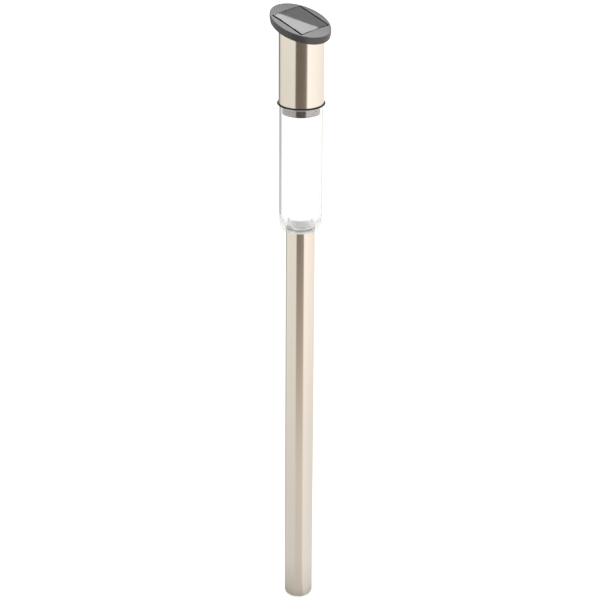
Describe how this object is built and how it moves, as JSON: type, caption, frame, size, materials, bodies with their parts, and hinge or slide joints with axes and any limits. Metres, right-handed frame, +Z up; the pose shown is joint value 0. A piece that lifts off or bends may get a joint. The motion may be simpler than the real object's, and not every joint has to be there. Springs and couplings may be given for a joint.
{
  "type": "solar garden light",
  "caption": "Steel pole garden light with a clear lens tube and a lift-off solar head, whose round cap slopes to face the sun.",
  "frame": {"origin": "centre of the pole's lower end, in the mouth of the spike socket", "axes": "+Z up the pole, -Y the way the solar cap slopes down, +X across the slope"},
  "size_m": [0.0674, 0.0632, 0.708],
  "materials": {
    "tube_steel": "fine brushing along the tube",
    "clear_plastic": "clear, polished",
    "charcoal_plastic": "satin, finely textured",
    "black_plastic": "satin",
    "white_plastic": "pearl white, smooth",
    "black_rubber": "matte",
    "clear_rubber": "soft, translucent",
    "bright_metal": "turned and polished",
    "screw_steel": "zinc plated",
    "contact_metal": "nickel plated",
    "cell_wrap": "plain plastic sleeve",
    "board_green": "lacquered",
    "copper_wire": "enamelled",
    "chip_black": "moulded",
    "ceramic_tan": "ceramic",
    "silicon": "dark grey",
    "panel_backing": "dark board",
    "clear_resin": "clear cast resin",
    "foam": "closed cell foam",
    "lamp_resin": "clear resin",
    "red_wire": "insulation",
    "black_wire": "insulation"
  },
  "bodies": {
    "pole": {"pole_tube": "tube_steel", "spike_socket": "black_plastic"},
    "coupler": {"pole_coupler": "white_plastic"},
    "lens": {"lens_tube": "clear_plastic", "rim_gasket": "black_rubber"},
    "battery": {"battery_cap": "black_plastic", "battery_spring": "contact_metal", "battery_cell": "cell_wrap", "battery_nub": "contact_metal"},
    "switch": {"switch_knob": "white_plastic"},
    "head": {"head_sleeve": "tube_steel", "head_chassis": "black_plastic", "chrome_collar": "bright_metal", "bore_seal": "clear_rubber", "cap_screws": "screw_steel", "positive_contact": "contact_metal", "reflector_disc": "bright_metal", "led_body": "lamp_resin", "led_leads": "contact_metal", "circuit_board": "board_green", "controller_chip": "chip_black", "charge_coil": "copper_wire", "board_capacitors": "ceramic_tan", "board_screws": "screw_steel", "switch_body": "black_plastic", "cap_bezel": "charcoal_plastic", "cap_base": "charcoal_plastic", "panel_pad": "foam", "panel_board": "panel_backing", "panel_cells": "silicon", "panel_cover": "clear_resin", "panel_wire_positive": "red_wire", "panel_wire_negative": "black_wire", "battery_wire": "red_wire"}
  },
  "joints": [
    {"name": "coupler_slide", "type": "slide", "parent": "pole", "child": "coupler", "axis": [0, 0, 1], "range_m": [0, 0.045]},
    {"name": "lens_turn", "type": "hinge", "parent": "coupler", "child": "lens", "pos_m": [0, 0, 0.465], "axis": [0, 0, 1], "continuous": true},
    {"name": "head_lift", "type": "slide", "parent": "lens", "child": "head", "axis": [0, 0, 1], "range_m": [0, 0.06]},
    {"name": "battery_slide", "type": "slide", "parent": "head", "child": "battery", "axis": [0, 0, -1], "range_m": [0, 0.055]},
    {"name": "switch_slide", "type": "slide", "parent": "head", "child": "switch", "axis": [1, 0, 0], "range_m": [0, 0.0025]}
  ]
}
